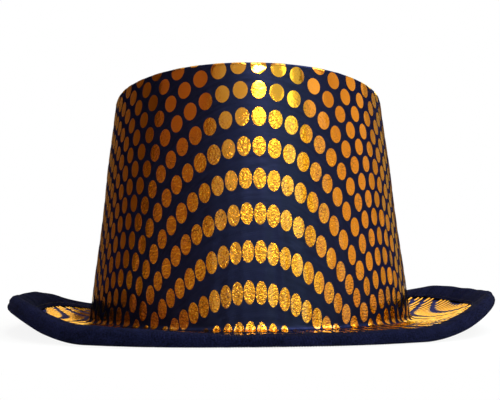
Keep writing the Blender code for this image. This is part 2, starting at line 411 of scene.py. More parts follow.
# How the cloth gives: the tip stays flat, and beyond its edge the cloth stretches more and more
# towards the brim, most at the front and the back, while its sides slip round towards these
CLOTH_UNIT = 0.1
FIRST_STRETCH = 0.1114
FIRST_AT_ENDS = 0.0960
FIRST_AT_CORNERS = 0.0167
LATER_STRETCH = 0.0606
FRONT_STRETCH = 0.0095
CORNER_STRETCH = 0.0044
EDGE_RELIEF = 0.0161
FRONT_RELIEF = 0.0148
SIDE_SLIP = 0.1376
EDGE_SLIP = 0.0682
CORNER_SLIP = 0.0141
FOOT_SHARE = 1.07
FRONT_FOOT_SHARE = 0.68
FRONT_FOOT_RELIEF = 0.032
FRONT_FOOT_EASE = 0.15
FRONT_FOOT_SPREAD = 8.0
BRIM_STRETCH = 0.055
BRIM_EASE = 0.05


def stretched(beyond, angle):
    """Distance down the hat that cloth takes, laid out this far beyond the edge of the tip."""
    share = beyond / CLOTH_UNIT
    ends, corners = np.cos(2 * angle), np.cos(4 * angle)
    first = FIRST_STRETCH * (1.0 + FIRST_AT_ENDS * ends + FIRST_AT_CORNERS * corners)
    later = LATER_STRETCH + FRONT_STRETCH * ends + CORNER_STRETCH * corners
    relief = EDGE_RELIEF - FRONT_RELIEF * ends
    over = np.maximum(share - FOOT_SHARE, 0.0)
    brim = BRIM_STRETCH * (1.0 - ends) / 2 * over ** 2 / (over + BRIM_EASE)
    low = np.maximum(share - FRONT_FOOT_SHARE, 0.0)
    front = FRONT_FOOT_RELIEF * np.maximum(ends, 0.0) * (1.0 + FRONT_FOOT_SPREAD * np.sin(angle) ** 2)
    front = front * low ** 2 / (low + FRONT_FOOT_EASE)
    return first * share + later * share ** 2 - relief * share ** 3 + brim - front


def unstretched(distance, angle):
    """Cloth beyond the edge of the tip that covers this distance down the hat."""
    step = 0.00001
    beyond = np.asarray(distance, float) * 0.9
    for _ in range(12):
        error = stretched(beyond, angle) - distance
        slope = (stretched(beyond + step, angle) - stretched(beyond, angle)) / step
        beyond = beyond - error / slope
    return beyond


def slipped(beyond, angle):
    """Direction on the hat of cloth that lay in this direction from the middle of the tip."""
    double, fourfold = np.sin(2 * angle), np.sin(4 * angle)
    slip = -SIDE_SLIP * double * np.maximum(beyond, 0.0) / CLOTH_UNIT
    return angle + slip + EDGE_SLIP * double - CORNER_SLIP * fourfold


TIP_HALF_WIDTH = SHOULDER_CENTRE[0]
TIP_HALF_LENGTH = SHOULDER_CENTRE[0] + EXTRA_LENGTH


def tip_reach(angle):
    """Flat distance from the middle to the edge of the oval tip."""
    return np.hypot(TIP_HALF_WIDTH * np.sin(angle), TIP_HALF_LENGTH * np.cos(angle))


def cloth_to_hat(across, forward):
    """Distance from the tip's edge and direction on the hat, for a place on the flat cloth."""
    angle = np.arctan2(across / TIP_HALF_WIDTH, forward / TIP_HALF_LENGTH)
    share = np.hypot(across / TIP_HALF_WIDTH, forward / TIP_HALF_LENGTH)
    beyond = (share - 1.0) * tip_reach(angle)
    on_tip = share < 1.0
    distance = np.where(on_tip, (share - 1.0) * TIP_HALF_WIDTH, stretched(np.maximum(beyond, 0.0), angle))
    turn = slipped(beyond, angle) - angle
    return distance, angle + turn * np.where(on_tip, share ** 2, 1.0)


GATHER_DEPTH = 0.00020
GATHER_START = 0.020
GATHER_FULL = 0.012
GATHER_END = 0.004


def gathers(distance, angle):
    """Height of the shallow upright gathers where the cloth is squeezed at the foot of the crown."""
    rise = smooth_step(SHOULDER_END + GATHER_START, WALL_END - GATHER_FULL, distance)
    fall = 1.0 - smooth_step(WALL_END - GATHER_END, FILLET_END + GATHER_END, distance)
    lean = 6.0 * (WALL_END - distance)
    waves = np.sin(61 * angle + lean + 0.4) + 0.8 * np.sin(47 * angle - lean + 2.1)
    waves = waves + 0.6 * np.sin(83 * angle + 2 * lean + 4.4)
    patches = 0.55 + 0.45 * np.sin(5 * angle + 0.9) * np.sin(3 * angle + 2.0)
    return GATHER_DEPTH * rise * fall * patches * waves


COVER_RINGS = np.concatenate([
    np.linspace(-TIP_HALF_WIDTH, 0.0, 17),
    np.linspace(0.0, SHOULDER_END, 25)[1:],
    np.linspace(SHOULDER_END, WALL_END, 49)[1:],
    np.linspace(WALL_END, FILLET_END, 9)[1:],
    np.linspace(FILLET_END, COVER_END, 17)[1:],
])


def make_outer_cover():
    rings = [(0.001 * number, 0.0) for number in range(len(COVER_RINGS))]
    piece = turn_outline("outer_cover_cloth", rings, steps=384, open_sheet=True)
    disc = vertex_places(piece)
    ring = np.rint(np.hypot(disc[:, 0], disc[:, 1]) * 1000).astype(int)
    angle = np.arctan2(disc[:, 0], -disc[:, 1])
    distance = COVER_RINGS[ring]
    on_tip = distance < 0
    beyond = unstretched(np.maximum(distance, 0.0), angle)
    share = np.where(on_tip, 1.0 + distance / TIP_HALF_WIDTH, 1.0)
    reach = tip_reach(angle) * share + beyond
    flat_angle = np.arctan2(TIP_HALF_WIDTH * np.sin(angle), TIP_HALF_LENGTH * np.cos(angle))
    flat = np.stack([reach * np.sin(flat_angle), reach * np.cos(flat_angle)], axis=-1)
    turn = (slipped(beyond, angle) - angle) * np.where(on_tip, share ** 2, 1.0)
    on_hat = angle + turn
    lift = gathers(distance, on_hat) + edge_stand(distance, on_hat)
    radius, height = outline_point(distance, lift)
    move_vertices(piece, blocked(radius, on_hat, height))
    keep_cloth_map(piece, flat[corner_vertices(piece)])
    return piece, flat


def cloth_place(tree):
    return add_node(tree, "ShaderNodeUVMap", {}, uv_map="cloth").outputs["UV"]


WAVE_TURNS = 20.0


def threads(tree, place, pitch, way, wander, detail=2.0):
    """Threads this far apart, side by side along the way given."""
    scale = math.tau / (WAVE_TURNS * pitch)
    inputs = {"Vector": place, "Scale": scale, "Distortion": wander, "Detail": detail}
    return add_node(tree, "ShaderNodeTexWave", inputs, bands_direction=way).outputs["Fac"]


def add_shares(tree, *parts):
    """Sum of patterns, each times its share."""
    total = 0.0
    for value, share in parts:
        inputs = {0: value, 1: share, 2: total}
        total = add_node(tree, "ShaderNodeMath", inputs, operation="MULTIPLY_ADD").outputs[0]
    return total


def navy_satin():
    finish, tree, shader = new_finish("navy_satin", {
        "Metallic": 0.8, "Roughness": 0.40, "Specular IOR Level": 0.08,
        "Specular Tint": (0.16, 0.26, 0.80, 1.0)})
    cloth = cloth_place(tree)
    rows = threads(tree, cloth, 0.0005, "Y", 1.2)
    stitches = threads(tree, cloth, 0.0005, "X", 0.8, detail=1.0)
    slubs = span(tree, fibres(tree, cloth, 0.0012, stretch=(9.0, 1.0, 1.0)), 0.3, 0.7)
    clouds = fibres(tree, cloth, 0.022)
    colour = mix_colours(tree, slubs, (0.0076, 0.0088, 0.0232), (0.0145, 0.0170, 0.0464))
    colour = mix_colours(tree, span(tree, clouds, 0.35, 0.7), colour, (0.0106, 0.0124, 0.0340))
    paint(tree, shader, colour)
    raise_bump(tree, shader, add_shares(tree, (rows, 0.7), (stitches, 0.3)), 0.00004, 0.6)
    return finish


outer_cover, cover_flat = make_outer_cover()
apply_modifier(outer_cover, "SOLIDIFY", thickness=COVER_THICKNESS, offset=-1.0, use_even_offset=True)
finish_piece(outer_cover, navy_satin(), "dotted_cover", "outer_cover")


# Foil dots
# Round dots of gold foil, hot pressed on the cloth in a square grid while it lies flat.
# The foil gives less than the cloth, so pulled dots turn to ovals that close up round the brim,
# and where the cloth is squeezed they crease and crack; there their creases are painted dark brown, partly
# as cracks and partly as painted shade.

DOT_PITCH = 0.0092
DOT_RADIUS = 0.0040
DOT_TURN = -0.0402
DOT_SKEW = 0.0289
DOT_ROW_START = 0.08763
DOT_LIFT = 0.00011
FOIL_GIVE = 0.55
BRIM_FOIL_GIVE = 1.0
BRIM_NARROWING = 0.34
WIDEST_DOT = 0.515
EDGE_DOT_REACH = 0.0046
BRIM_DOME = 0.00060
BESIDE_SPAN = (0.35, 0.75)
NARROWING_SPAN = (FILLET_END - 0.003, FILLET_END + 0.006)
DOME_SPAN = (WALL_END - 0.006, FILLET_END + 0.004)
NARROWEST_DOT = 0.45
SIZE_SPREAD = 0.015
DENT_DEPTH = 0.000008
DOT_SEED = 11
DOT_LIMIT_RADIUS = 0.1265


def make_flat_dot(name, corners, rings):
    """One flat dot with a bevelled rim, ready to be copied over the cloth."""
    deselect_all()
    bpy.ops.mesh.primitive_circle_add(
        vertices=corners, radius=DOT_RADIUS * rings[0], fill_type="TRIFAN", location=(0.0, 0.0, DOT_LIFT))
    dot = name_added(name)
    bpy.ops.object.transform_apply()
    start_edit("DESELECT")
    bpy.ops.mesh.select_non_manifold()
    for inner, outer in zip(rings, rings[1:]):
        drop = -2.0 * DOT_LIFT if outer == 1.0 else 0.0
        bpy.ops.mesh.extrude_region_move(TRANSFORM_OT_translate={"value": (0.0, 0.0, drop)})
        bpy.ops.transform.resize(value=(outer / inner, outer / inner, 1.0))
    end_edit()
    return dot


def grid_steps():
    """The two steps of the printed grid, sideways and towards the front."""
    column = DOT_PITCH * np.array((math.cos(DOT_TURN), -math.sin(DOT_TURN)))
    row = DOT_PITCH * np.array((math.sin(DOT_TURN + DOT_SKEW), math.cos(DOT_TURN + DOT_SKEW)))
    return column, row


def local_pull(centre):
    """How the cloth is pulled at a dot: for a small step on the flat cloth, the step on the hat."""
    step = 0.0005
    columns = []
    for way in ((step, 0.0), (0.0, step)):
        ends = []
        for sign in (-1.0, 1.0):
            distance, angle = cloth_to_hat(centre[:, 0] + sign * way[0], centre[:, 1] + sign * way[1])
            radius, height = outline_point(distance)
            ends.append(blocked(radius, angle, height))
        columns.append((ends[1] - ends[0]) / (2 * step))
    return np.stack(columns, axis=-1)


def beside(angle):
    """1 at the two sides of the hat, 0 at its front and back."""
    return smooth_step(*BESIDE_SPAN, np.abs(np.sin(angle)))


def foil_shape(centre):
    """Change of each dot's flat shape, so that on the hat it has given only as far as foil gives."""
    pull = local_pull(centre)
    strain, ways = np.linalg.eigh(np.swapaxes(pull, 1, 2) @ pull)
    distance, angle = cloth_to_hat(centre[:, 0], centre[:, 1])
    on_brim = smooth_step(*NARROWING_SPAN, distance)[:, None]
    give = FOIL_GIVE + (BRIM_FOIL_GIVE - FOIL_GIVE) * on_brim
    scale = np.clip(strain ** ((give - 1.0) / 2), NARROWEST_DOT, WIDEST_DOT * DOT_PITCH / DOT_RADIUS)
    scale[:, :1] *= 1.0 - BRIM_NARROWING * on_brim * beside(angle)[:, None]
    return ways @ (scale[:, :, None] * np.swapaxes(ways, 1, 2))


def dot_dome(centre, around):
    """Arch of a dot over the brim, where the cloth is gathered between one dot and the next."""
    distance, angle = cloth_to_hat(centre[:, 0], centre[:, 1])
    side_way = np.stack([centre[:, 1], -centre[:, 0]], axis=-1)
    side_way /= np.linalg.norm(side_way, axis=1, keepdims=True)
    across = np.einsum("dvi,di->dv", around, side_way)
    across /= np.abs(across).max(axis=1, keepdims=True)
    on_brim = smooth_step(*DOME_SPAN, distance)
    return BRIM_DOME * (on_brim * beside(angle))[:, None] * (1.0 - across ** 2)


def make_foil_dots(name, dot_corners, rings, reach, over_edge):
    """Dots within this many rows of the middle: those that bend over the tip's edge, or all others."""
    rng = np.random.default_rng(DOT_SEED)
    piece = make_flat_dot(name, dot_corners, rings)
    corners = len(piece.data.vertices)
    column, row = grid_steps()
    count = 2 * reach + 1
    copy_in_row(piece, count, (column[0], -column[1], 0.0))
    copy_in_row(piece, count, (row[0], -row[1], 0.0))
    flat = vertex_places(piece).reshape(count * count, corners, 3)
    first_row = int(round(DOT_ROW_START / DOT_PITCH))
    shift = -reach * column - (reach + first_row) * row
    centre = np.stack([flat[:, 0, 0], -flat[:, 0, 1]], axis=-1)
    around = np.stack([flat[:, :, 0], -flat[:, :, 1]], axis=-1) - centre[:, None, :]
    centre = centre + shift + np.array((0.0, DOT_ROW_START))
    around = np.einsum("dij,dvj->dvi", foil_shape(centre), around)
    around *= 1.0 + SIZE_SPREAD * rng.standard_normal((count * count, 1, 1))
    spots = centre[:, None, :] + around
    distance, angle = cloth_to_hat(spots[..., 0], spots[..., 1])
    dents = DENT_DEPTH * rng.standard_normal((count * count, corners))
    lift = flat[:, :, 2] + np.where(flat[:, :, 2] > 0, dents, 0.0)
    lift = lift + gathers(distance, angle) + edge_stand(distance, angle) + dot_dome(centre, around)
    radius, height = outline_point(distance, lift)
    move_vertices(piece, blocked(radius, angle, height).reshape(-1, 3))
    keep_cloth_map(piece, spots.reshape(-1, 2)[corner_vertices(piece)])
    middle = cloth_to_hat(centre[:, 0], centre[:, 1])[0]
    bends = np.abs(middle - SHOULDER_END / 2) < SHOULDER_END / 2 + EDGE_DOT_REACH
    unwanted = (outline_point(middle)[0] > DOT_LIMIT_RADIUS) | (bends != over_edge)
    piece.data.vertices.foreach_set("select", np.repeat(unwanted, corners))
    piece.data.update()
    bpy.ops.object.mode_set(mode="EDIT")
    bpy.ops.mesh.select_mode(type="VERT")
    bpy.ops.mesh.delete(type="VERT")
    end_edit()
    return piece


def squeezed_front(tree):
    """Where the cloth is squeezed most, low on the front and the back of the crown, from a little to 1."""
    place = add_node(tree, "ShaderNodeSeparateXYZ", {"Vector": object_place(tree)})
    ends = span(tree, calculate(tree, "ABSOLUTE", place.outputs["Y"], 0.0), 0.050, 0.085)
    low = span(tree, place.outputs["Z"], 0.120, 0.085)
    least = span(tree, place.outputs["Z"], 0.128, 0.108, 0.03, 0.13)
    return span(tree, calculate(tree, "MULTIPLY", ends, low), 0.0, 1.0, least, 1.0)


def cells(tree, place, scale, feature):
    """Distance within the cells of a cracked pattern, with this many cells to the metre each way."""
    mapped = add_node(tree, "ShaderNodeMapping", {"Vector": place, "Scale": scale}).outputs["Vector"]
    inputs = {"Vector": mapped, "Scale": 1.0}
    return add_node(tree, "ShaderNodeTexVoronoi", inputs, feature=feature).outputs["Distance"]


def gold_foil():
    finish, tree, shader = new_finish("gold_foil", {
        "Metallic": 1.0, "Specular Tint": (0.95, 0.84, 0.14, 1.0),
        "Coat Weight": 0.5, "Coat Roughness": 0.06, "Coat IOR": 1.5})
    place = object_place(tree)
    crumple = fibres(tree, place, 0.0010, stretch=(1.2, 1.2, 0.9), detail=3.0)
    patches = fibres(tree, place, 0.009)
    facets = cells(tree, place, (750.0, 750.0, 900.0), "F1")
    creases = cells(tree, place, (330.0, 330.0, 620.0), "DISTANCE_TO_EDGE")
    squeezed = squeezed_front(tree)
    # Painted shade in the creases, partly cracks: in patches where the cloth is squeezed, the gold turns
    # dark brown along the crease lines.
    crease_shade_and_cracks = span(tree, creases, 0.015, 0.06)
    crease_shade_patches = calculate(tree, "MULTIPLY", span(tree, patches, 0.50, 0.62), squeezed)
    crease_shade_and_cracks = calculate(tree, "MAXIMUM", crease_shade_and_cracks, calculate(tree, "SUBTRACT", 1.0, crease_shade_patches))
    gold = mix_colours(tree, span(tree, patches, 0.3, 0.7), (0.60, 0.226, 0.009), (0.66, 0.252, 0.012))
    colour = mix_colours(tree, crease_shade_and_cracks, (0.16, 0.050, 0.008), gold)
    paint(tree, shader, colour)
    rough = calculate(tree, "MULTIPLY", span(tree, crumple, 0.3, 0.7, 0.06, 0.16), squeezed)
    rough = calculate(tree, "ADD", rough, span(tree, patches, 0.3, 0.7, 0.08, 0.11))
    tree.links.new(rough, shader.inputs["Roughness"])
    folds = calculate(tree, "MINIMUM", creases, 0.12)
    height = add_shares(tree, (crumple, 0.8), (folds, 2.0), (facets, 0.8))
    raise_bump(tree, shader, calculate(tree, "MULTIPLY", height, squeezed), 0.00032, 0.72)
    return finish


pressed_foil = gold_foil()
FLAT_DOT_RINGS = (0.36, 0.70, 0.93, 1.0)
BENT_DOT_RINGS = (0.15, 0.30, 0.45, 0.60, 0.75, 0.87, 0.95, 1.0)
foil_dots = make_foil_dots("foil_dots", 16, FLAT_DOT_RINGS, reach=25, over_edge=False)
finish_piece(foil_dots, pressed_foil, "dotted_cover", sharp=25.0)
edge_dots = make_foil_dots("edge_foil_dots", 24, BENT_DOT_RINGS, reach=12, over_edge=True)
finish_piece(edge_dots, pressed_foil, "dotted_cover", sharp=60.0)


# Brim facing
# Plain navy cotton glued under the brim and turned up a finger's breadth into the crown,
# where the side lining and the sweatband cover its raw edge.

LINING_DEPTH = 0.0024
FACING_THICKNESS = 0.0005
FACING_TURN_UP = 0.0100
FACING_RINGS = np.concatenate([
    np.linspace(WALL_END - FACING_TURN_UP, WALL_END, 5),
    np.linspace(WALL_END, FILLET_END, 9)[1:],
    np.linspace(FILLET_END, COVER_END, 17)[1:],
])


def plain_weave(name, dark, light, thread, sockets):
    """Cloth of crossing threads this far apart, on the piece's own map."""
    finish, tree, shader = new_finish(name, sockets)
    cloth = cloth_place(tree)
    lines = [threads(tree, cloth, thread, way, 0.6, detail=1.0) for way in "XY"]
    weave = calculate(tree, "MAXIMUM", *lines)
    slubs = fibres(tree, cloth, 0.0016, stretch=(6.0, 1.0, 1.0))
    tone = add_shares(tree, (slubs, 0.5), (fibres(tree, cloth, 0.020), 0.5))
    colour = mix_colours(tree, span(tree, tone, 0.35, 0.65), dark, light)
    paint(tree, shader, colour)
    raise_bump(tree, shader, weave, thread * 0.2, 0.8)
    return finish


facing_section = layer_section(FACING_RINGS, LINING_DEPTH, LINING_DEPTH + FACING_THICKNESS)
brim_facing = turn_outline("brim_facing_cloth", facing_section, steps=256)
block_turned(brim_facing, round_length=0.85)
facing_cotton = plain_weave("facing_cotton", (0.008, 0.010, 0.028), (0.015, 0.018, 0.050), 0.0005, {
    "Roughness": 0.85, "Specular IOR Level": 0.2, "Sheen Weight": 0.1})
finish_piece(brim_facing, facing_cotton, "facing_fabric", "brim_facing")


# Brim wire
# Spring steel wire in the fold of the binding; it holds the brim's roll and isn't in view.
# Drawn round, bent to the brim's outline and butted at the back.

WIRE_RADIUS = 0.00055
WIRE_PLACE = np.array((0.13475, EDGE_THICKNESS / 2))


def drawn_steel():
    finish, tree, shader = new_finish("drawn_steel", {"Metallic": 1.0})
    place = object_place(tree)
    marks = fibres(tree, place, 0.0015, stretch=(1.0, 1.0, 0.15))
    colour = mix_colours(tree, marks, (0.46, 0.46, 0.47), (0.60, 0.60, 0.61))
    paint(tree, shader, colour)
    tree.links.new(span(tree, marks, 0.3, 0.7, 0.25, 0.42), shader.inputs["Roughness"])
    return finish


wire_turns = np.linspace(0.0, math.tau, 11)
wire_section = WIRE_PLACE + WIRE_RADIUS * np.stack([np.cos(wire_turns), np.sin(wire_turns)], axis=-1)
brim_wire = turn_outline("brim_wire_steel", wire_section, steps=256)
block_turned(brim_wire, round_length=0.85)
finish_piece(brim_wire, drawn_steel(), "wire", "brim_wire")


# Brim binding
# Navy grosgrain tape with cross ribs, folded over the edge of the brim and the wire and sewn down.
# Its ribs stand across the edge; they spread a little round the fold and lean here and there.

BINDING_THICKNESS = 0.0009
FOLD_RADIUS = BRIM_RADIUS - EDGE_THICKNESS / 2
BINDING_RIBS = 690
RIB_STEPS = 4
RIB_DEPTH = 0.00045
RIB_SLANT = 4.5
LEFT_WIDER = 0.187
FRONT_PUFF = -0.0003
RIGHT_PUFF = 0.0011
LEFT_PUFF = 0.0032
UNDER_PUFF = 0.0005
SIDE_SPAN = (0.0, 0.6)
PUFF_SPAN = (-0.001, 0.006)
UNDER_ROLL_SPAN = (0.02, 0.25)
EDGE_SPREAD = 0.0015
TAPE_SWELL = 0.00012
TAPE_WANDER = 0.00022


def binding_face(inset, leg_steps, fold_steps):
    """One face of the folded tape, from its upper edge round the fold to its lower edge."""
    legs = np.linspace(BINDING_INNER_RADIUS, FOLD_RADIUS, leg_steps + 1)
    half = EDGE_THICKNESS / 2
    fold = np.linspace(math.pi / 2, -math.pi / 2, fold_steps + 1)[1:-1]
    upper = [(radius, 2 * half - inset) for radius in legs]
    bend = np.array((FOLD_RADIUS, half)) + (half - inset) * np.stack([np.cos(fold), np.sin(fold)], axis=-1)
    lower = [(radius, inset) for radius in legs[::-1]]
    return np.concatenate([upper, bend, lower])


def tape_lie(radius, angle):
    """Where a line along the tape lies, wider on the left, and the padding above and below it there."""
    left = smooth_step(*SIDE_SPAN, -np.sin(angle))
    right = smooth_step(*SIDE_SPAN, np.sin(angle))
    wider = 1.0 + LEFT_WIDER * left
    place = np.where(radius < FOLD_RADIUS, FOLD_RADIUS - (FOLD_RADIUS - radius) * wider, radius)
    inner = FOLD_RADIUS - (FOLD_RADIUS - BINDING_INNER_RADIUS) * wider
    from_edge = smooth_step(*PUFF_SPAN, place - inner)
    above = FRONT_PUFF + (LEFT_PUFF - FRONT_PUFF) * left + (RIGHT_PUFF - FRONT_PUFF) * right
    below = UNDER_PUFF * smooth_step(*UNDER_ROLL_SPAN, brim_roll(angle))
    return place, from_edge * above, from_edge * below


def rib_tape(radius, angle, height):
    """Pad the tape's outer face and sink it between its ribs; its upper edge wanders a little."""
    half = EDGE_THICKNESS / 2
    past_fold = np.maximum(radius - FOLD_RADIUS, 0.0)
    rise = height - half
    across = np.where(past_fold > 0, np.hypot(past_fold, rise), np.maximum(np.abs(rise), 1e-6))
    outside = smooth_step(half - BINDING_THICKNESS * 0.6, half - BINDING_THICKNESS * 0.1, across)
    lean = 0.8 * np.sin(9 * angle + 1.0) + 0.5 * np.sin(23 * angle)
    phase = BINDING_RIBS * angle + lean + RIB_SLANT * rise / half
    uneven = 0.8 + 0.2 * np.sin(37 * angle + 0.5) * np.sin(101 * angle)
    sink = RIB_DEPTH * outside * uneven * (0.5 - 0.5 * np.cos(phase))
    swell = TAPE_SWELL * outside * (np.sin(31 * angle + 2.0) + np.sin(17 * angle)) * (rise > 0)
    upward = rise / across
    place, above, below = tape_lie(radius, angle)
    puff = outside * (np.maximum(upward, 0.0) * above + np.maximum(-upward, 0.0) * below)
    share = (across - sink + swell + puff) / across
    edge = np.exp(-(((radius - BINDING_INNER_RADIUS) / EDGE_SPREAD) ** 2))
    wander = TAPE_WANDER * edge * (np.sin(13 * angle + 0.3) + 0.7 * np.sin(29 * angle + 1.9))
    new_radius = np.where(past_fold > 0, FOLD_RADIUS + past_fold * share, place + wander)
    return new_radius, angle, half + rise * share


def ribbed_cloth(name, dark, light, sockets):
    """Matte ribbed tape: woollen mottling and fine lint on the ribs."""
    finish, tree, shader = new_finish(name, sockets)
    place = object_place(tree)
    lint = fibres(tree, place, 0.0008, stretch=(1.0, 1.0, 0.5), detail=6.0)
    tone = add_shares(tree, (lint, 0.75), (fibres(tree, place, 0.012), 0.25))
    colour = mix_colours(tree, span(tree, tone, 0.37, 0.63), dark, light)
    paint(tree, shader, colour)
    raise_bump(tree, shader, lint, 0.0003)
    return finish


outer_face = binding_face(0.0, leg_steps=6, fold_steps=8)
inner_face = binding_face(BINDING_THICKNESS, leg_steps=3, fold_steps=4)
binding_section = np.concatenate([outer_face, inner_face[::-1], outer_face[:1]])
brim_binding = turn_outline("brim_binding_tape", binding_section, steps=BINDING_RIBS * RIB_STEPS)
block_turned(brim_binding, round_length=0.90, shape=rib_tape)
binding_tape = ribbed_cloth("binding_tape", (0.0010, 0.0013, 0.0044), (0.0082, 0.0096, 0.0370), {
    "Roughness": 0.9, "Specular IOR Level": 0.02, "Sheen Weight": 0.015, "Sheen Roughness": 0.5,
    "Sheen Tint": (0.55, 0.60, 1.0, 1.0)})
finish_piece(brim_binding, binding_tape, "ribbed_tape", "brim_binding", sharp=60.0)


# Binding stitches
# One row of lockstitch in navy polyester thread, run through the binding just inside its edge.
# Each stitch dips into the tape at both ends.

BINDING_STITCHES = 255
BINDING_STITCH_RADIUS = 0.1253
STITCH_SPACING = 0.0032
STITCH_LENGTH = 0.0026
STITCH_DIP = 1.4
STITCH_LIFT = 0.00005
THREAD_RADIUS = 0.00021


def row_of_stitches(name, count):
    """A straight row of stitches along X, modelled once and copied; each end dips down."""
    deselect_all()
    bpy.ops.mesh.primitive_uv_sphere_add(segments=6, ring_count=8, radius=1.0)
    piece = name_added(name)
    start_edit()
    bpy.ops.transform.rotate(value=math.pi / 2, orient_axis="Y", center_override=(0.0, 0.0, 0.0))
    bpy.ops.transform.resize(value=(STITCH_LENGTH / 2, THREAD_RADIUS, THREAD_RADIUS))
    end_edit()
    places = vertex_places(piece)
    places[:, 2] -= STITCH_DIP * THREAD_RADIUS * (places[:, 0] / (STITCH_LENGTH / 2)) ** 4
    move_vertices(piece, places)
    copy_in_row(piece, count, (STITCH_SPACING, 0.0, 0.0))
    return piece


def lay_stitches_round(piece, count, radius, height, up, shape=None):
    """Lay a straight row round the hat: X runs round, and Z stands along up = (out, up)."""
    row = vertex_places(piece)
    angle = row[:, 0] / (STITCH_SPACING * count) * math.tau - math.pi
    new_radius = radius + row[:, 2] * up[0] + row[:, 1] * up[1]
    new_height = height + row[:, 2] * up[1] - row[:, 1] * up[0]
    if shape:
        new_radius, above, _ = shape(new_radius, angle)
        new_height = new_height + above
    move_vertices(piece, blocked(new_radius, angle, new_height))
    start_edit()
    bpy.ops.mesh.normals_make_consistent(inside=False)
    end_edit()


def twisted_thread(name, dark, light):
    """Twisted sewing thread."""
    finish, tree, shader = new_finish(name, {"Roughness": 0.7, "Specular IOR Level": 0.1})
    twist = threads(tree, object_place(tree), 0.0004, "DIAGONAL", 0.5)
    paint(tree, shader, mix_colours(tree, twist, dark, light))
    raise_bump(tree, shader, twist, 0.00008)
    return finish


binding_stitches = row_of_stitches("binding_stitches", BINDING_STITCHES)
lay_stitches_round(binding_stitches, BINDING_STITCHES, BINDING_STITCH_RADIUS, EDGE_THICKNESS + STITCH_LIFT,
                   up=(0.0, 1.0), shape=tape_lie)
navy_thread = twisted_thread("navy_thread", (0.003, 0.0034, 0.010), (0.008, 0.009, 0.026))
finish_piece(binding_stitches, navy_thread, "thread", "binding_stitch")


# Tip lining
# Navy satin cut to the oval of the tip and laid up inside it.
# Its edge is eased over the shoulder in small tucks, and the side lining is sewn to it.

LINING_THICKNESS = 0.0004
TUCK_DEPTH = 0.00010
TIP_RINGS = np.concatenate([
    np.linspace(-TIP_HALF_WIDTH, 0.0, 17),
    np.linspace(0.0, SHOULDER_END, 6)[1:],
])


def ease_tip(radius, angle, height):
    """Small tucks round the edge where the flat satin is eased into the shoulder; the inside gives way."""
    edge = smooth_step(TIP_HALF_WIDTH * 0.95, TIP_HALF_WIDTH + SHOULDER_RADIUS, radius)
    tucks = TUCK_DEPTH * edge * (0.5 + 0.5 * np.sin(44 * angle + np.sin(7 * angle)))
    return radius - tucks, angle, height - tucks * 0.4


def lining_satin(name, stretch):
    finish, tree, shader = new_finish(name, {
        "Roughness": 0.36, "Specular IOR Level": 0.45, "Sheen Weight": 0.06, "Anisotropic": 0.4})
    cloth = cloth_place(tree)
    floats = fibres(tree, cloth, 0.0009, stretch=stretch)
    clouds = fibres(tree, cloth, 0.025)
    colour = mix_colours(tree, span(tree, floats, 0.3, 0.7), (0.010, 0.012, 0.036), (0.020, 0.024, 0.066))
    colour = mix_colours(tree, span(tree, clouds, 0.4, 0.9), colour, (0.024, 0.028, 0.074))
    paint(tree, shader, colour)
    tree.links.new(span(tree, floats, 0.3, 0.7, 0.30, 0.44), shader.inputs["Roughness"])
    raise_bump(tree, shader, floats, 0.00008, 0.7)
    return finish


tip_section = layer_section(TIP_RINGS, LINING_DEPTH, LINING_DEPTH + LINING_THICKNESS)[:-1]
tip_lining = turn_outline("tip_lining_satin", tip_section, steps=192)
block_turned(tip_lining, round_length=0.45, shape=ease_tip)
finish_piece(tip_lining, lining_satin("tip_satin", (1.0, 12.0, 1.0)), "lining_satin", "tip_lining")


# Size label
# Blank woven satin with cut ends and rounded corners.
# It is tacked down under the middle of the tip lining.

LABEL_WIDTH = 0.0360
LABEL_LENGTH = 0.0220
LABEL_THICKNESS = 0.0005
LABEL_CORNER = 0.0025
LABEL_GAP = 0.0003
UNDER_LINING = CROWN_HEIGHT - LINING_DEPTH - LINING_THICKNESS - LABEL_GAP - LABEL_THICKNESS / 2
LABEL_HEIGHT = float(blocked(LABEL_WIDTH / 2, math.pi / 2, UNDER_LINING)[2])


def make_size_label():
    deselect_all()
    bpy.ops.mesh.primitive_plane_add(size=1.0, location=(0.0, 0.0, LABEL_HEIGHT))
    piece = name_added("size_label_satin")
    piece.scale = (LABEL_WIDTH, LABEL_LENGTH, 1.0)
    bpy.ops.object.transform_apply()
    start_edit()
    bpy.ops.mesh.bevel(offset=LABEL_CORNER, segments=4, affect="VERTICES")
    end_edit()
    apply_modifier(piece, "SOLIDIFY", thickness=LABEL_THICKNESS, offset=0.0)
    return piece


def label_satin():
    finish, tree, shader = new_finish("label_satin", {
        "Roughness": 0.4, "Specular IOR Level": 0.4, "Sheen Weight": 0.1})
    floats = fibres(tree, object_place(tree), 0.0007, stretch=(10.0, 1.0, 1.0))
    colour = mix_colours(tree, span(tree, floats, 0.3, 0.7), (0.62, 0.61, 0.57), (0.76, 0.75, 0.71))
    paint(tree, shader, colour)
    raise_bump(tree, shader, floats, 0.0001, 0.8)
    return finish


size_label = make_size_label()
finish_piece(size_label, label_satin(), "label_satin", "size_label")


# Side lining
# A straight band of navy satin sewn to a ring and set up inside the crown's wall.
# It is cut a little long, so it stands in soft upright folds.

SIDE_LINING_BOTTOM = 0.0103
SIDE_LINING_TOP = WALL_LENGTH - 0.0003
FOLD_DEPTH = 0.00030


def wall_section(bottom, top, outer_depth, inner_depth, steps):
    """Closed section of a band along the wall, from its outer to its inner depth."""
    line = WALL_FOOT + np.linspace(top, bottom, steps + 1)[:, None] * WALL_UP
    outer = line - WALL_OUT * outer_depth
    inner = line - WALL_OUT * inner_depth
    return np.concatenate([outer, inner[::-1], outer[:1]])


